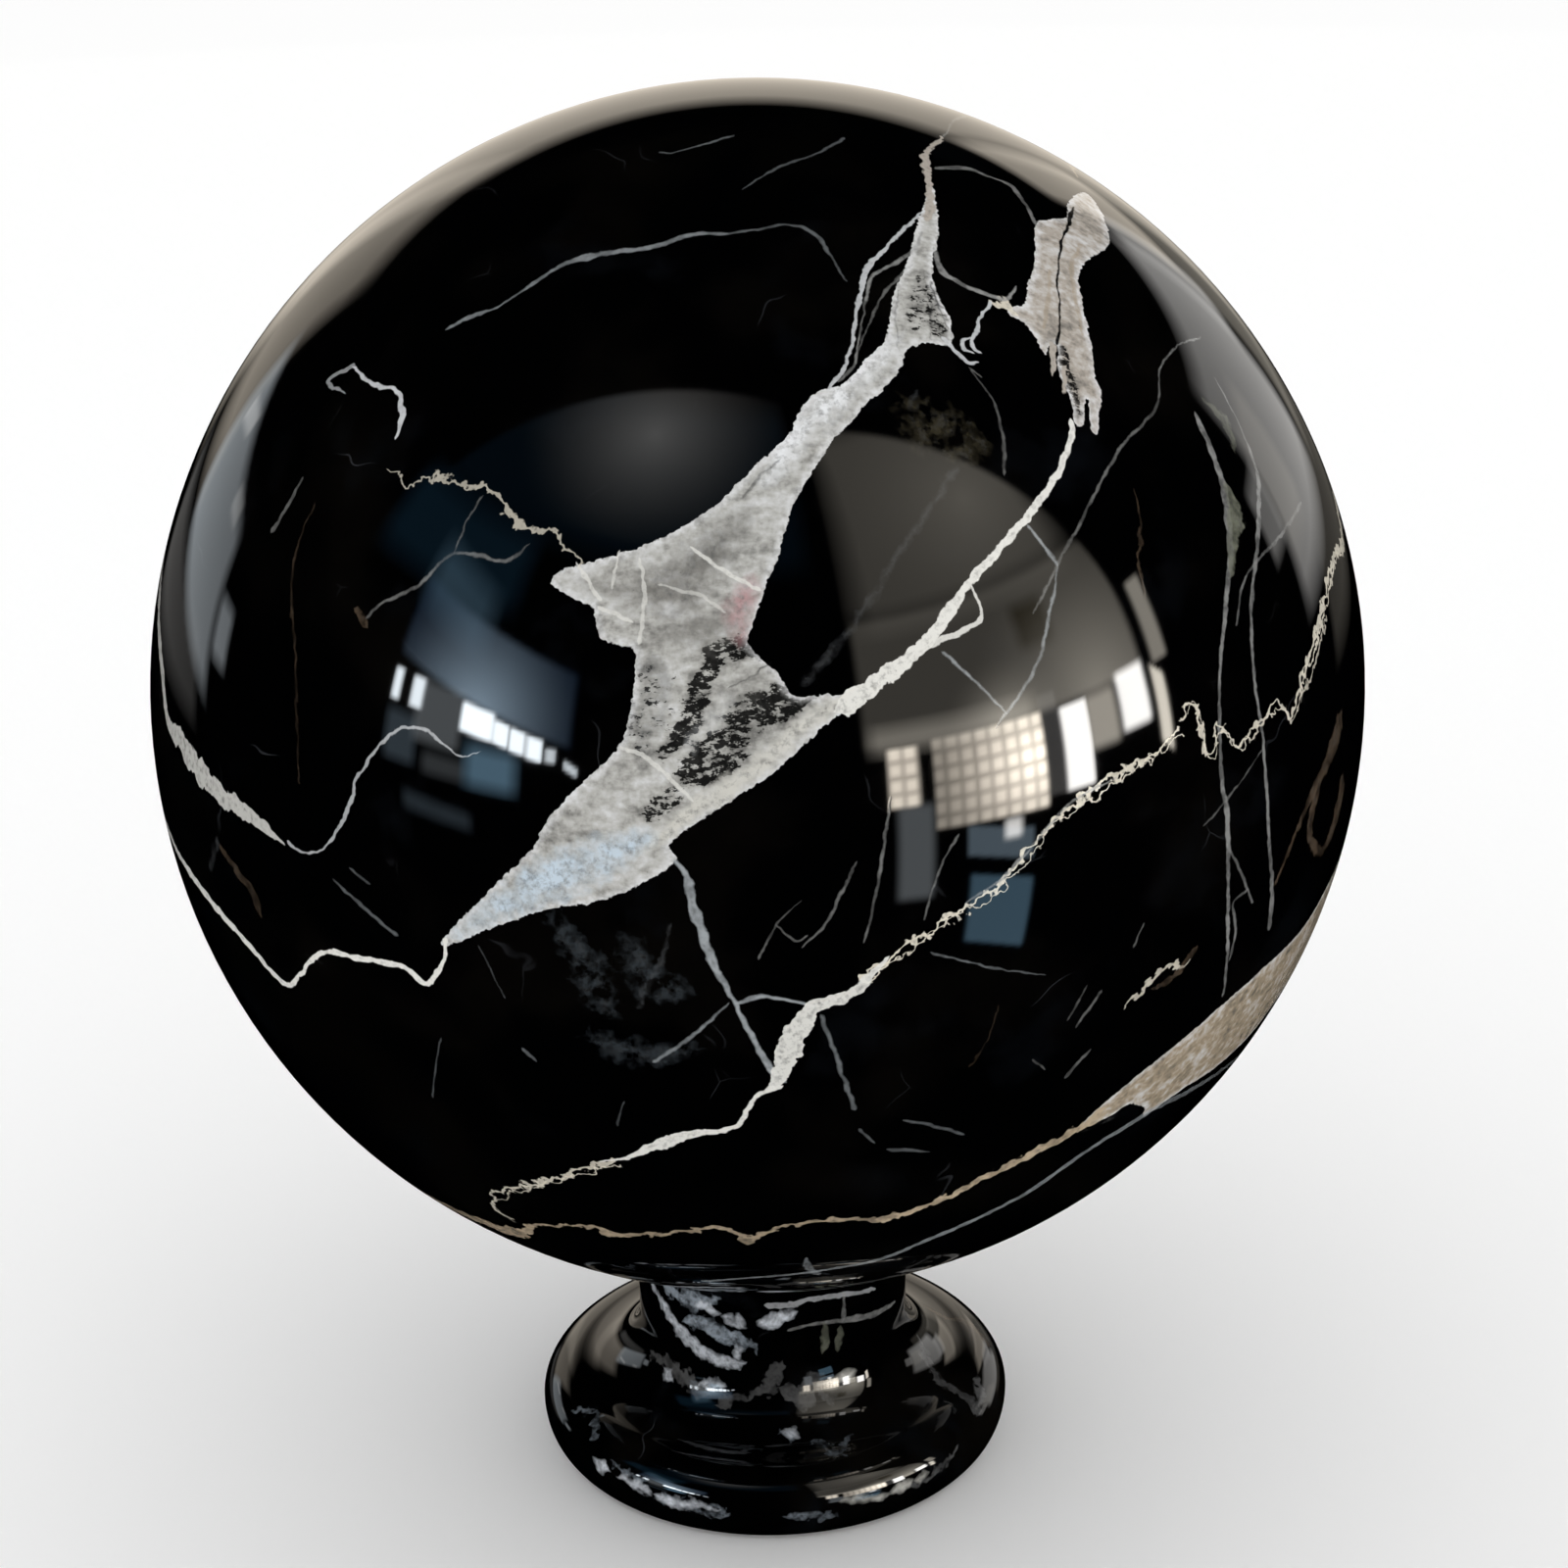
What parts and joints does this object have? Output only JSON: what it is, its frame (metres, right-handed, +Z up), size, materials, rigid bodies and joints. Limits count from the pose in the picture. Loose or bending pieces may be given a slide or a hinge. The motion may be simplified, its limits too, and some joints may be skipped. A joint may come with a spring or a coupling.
{
  "type": "decorative stone sphere on stand",
  "caption": "Polished black marble sphere with white veins, resting on a small turned marble stand with a waisted neck and a round foot.",
  "frame": {"origin": "centre of the stand's flat underside", "axes": "+Z up through the stand and the sphere's centre; -Y is the side with the widest white vein"},
  "size_m": [0.2, 0.2, 0.2415],
  "materials": {
    "sphere_marble": "black marble, polished to a mirror gloss, with white, grey and cream calcite veins",
    "stand_marble": "black marble, polished, with cloudy grey patches"
  },
  "bodies": {
    "root": {"sphere": "sphere_marble", "stand": "stand_marble"}
  },
  "joints": []
}
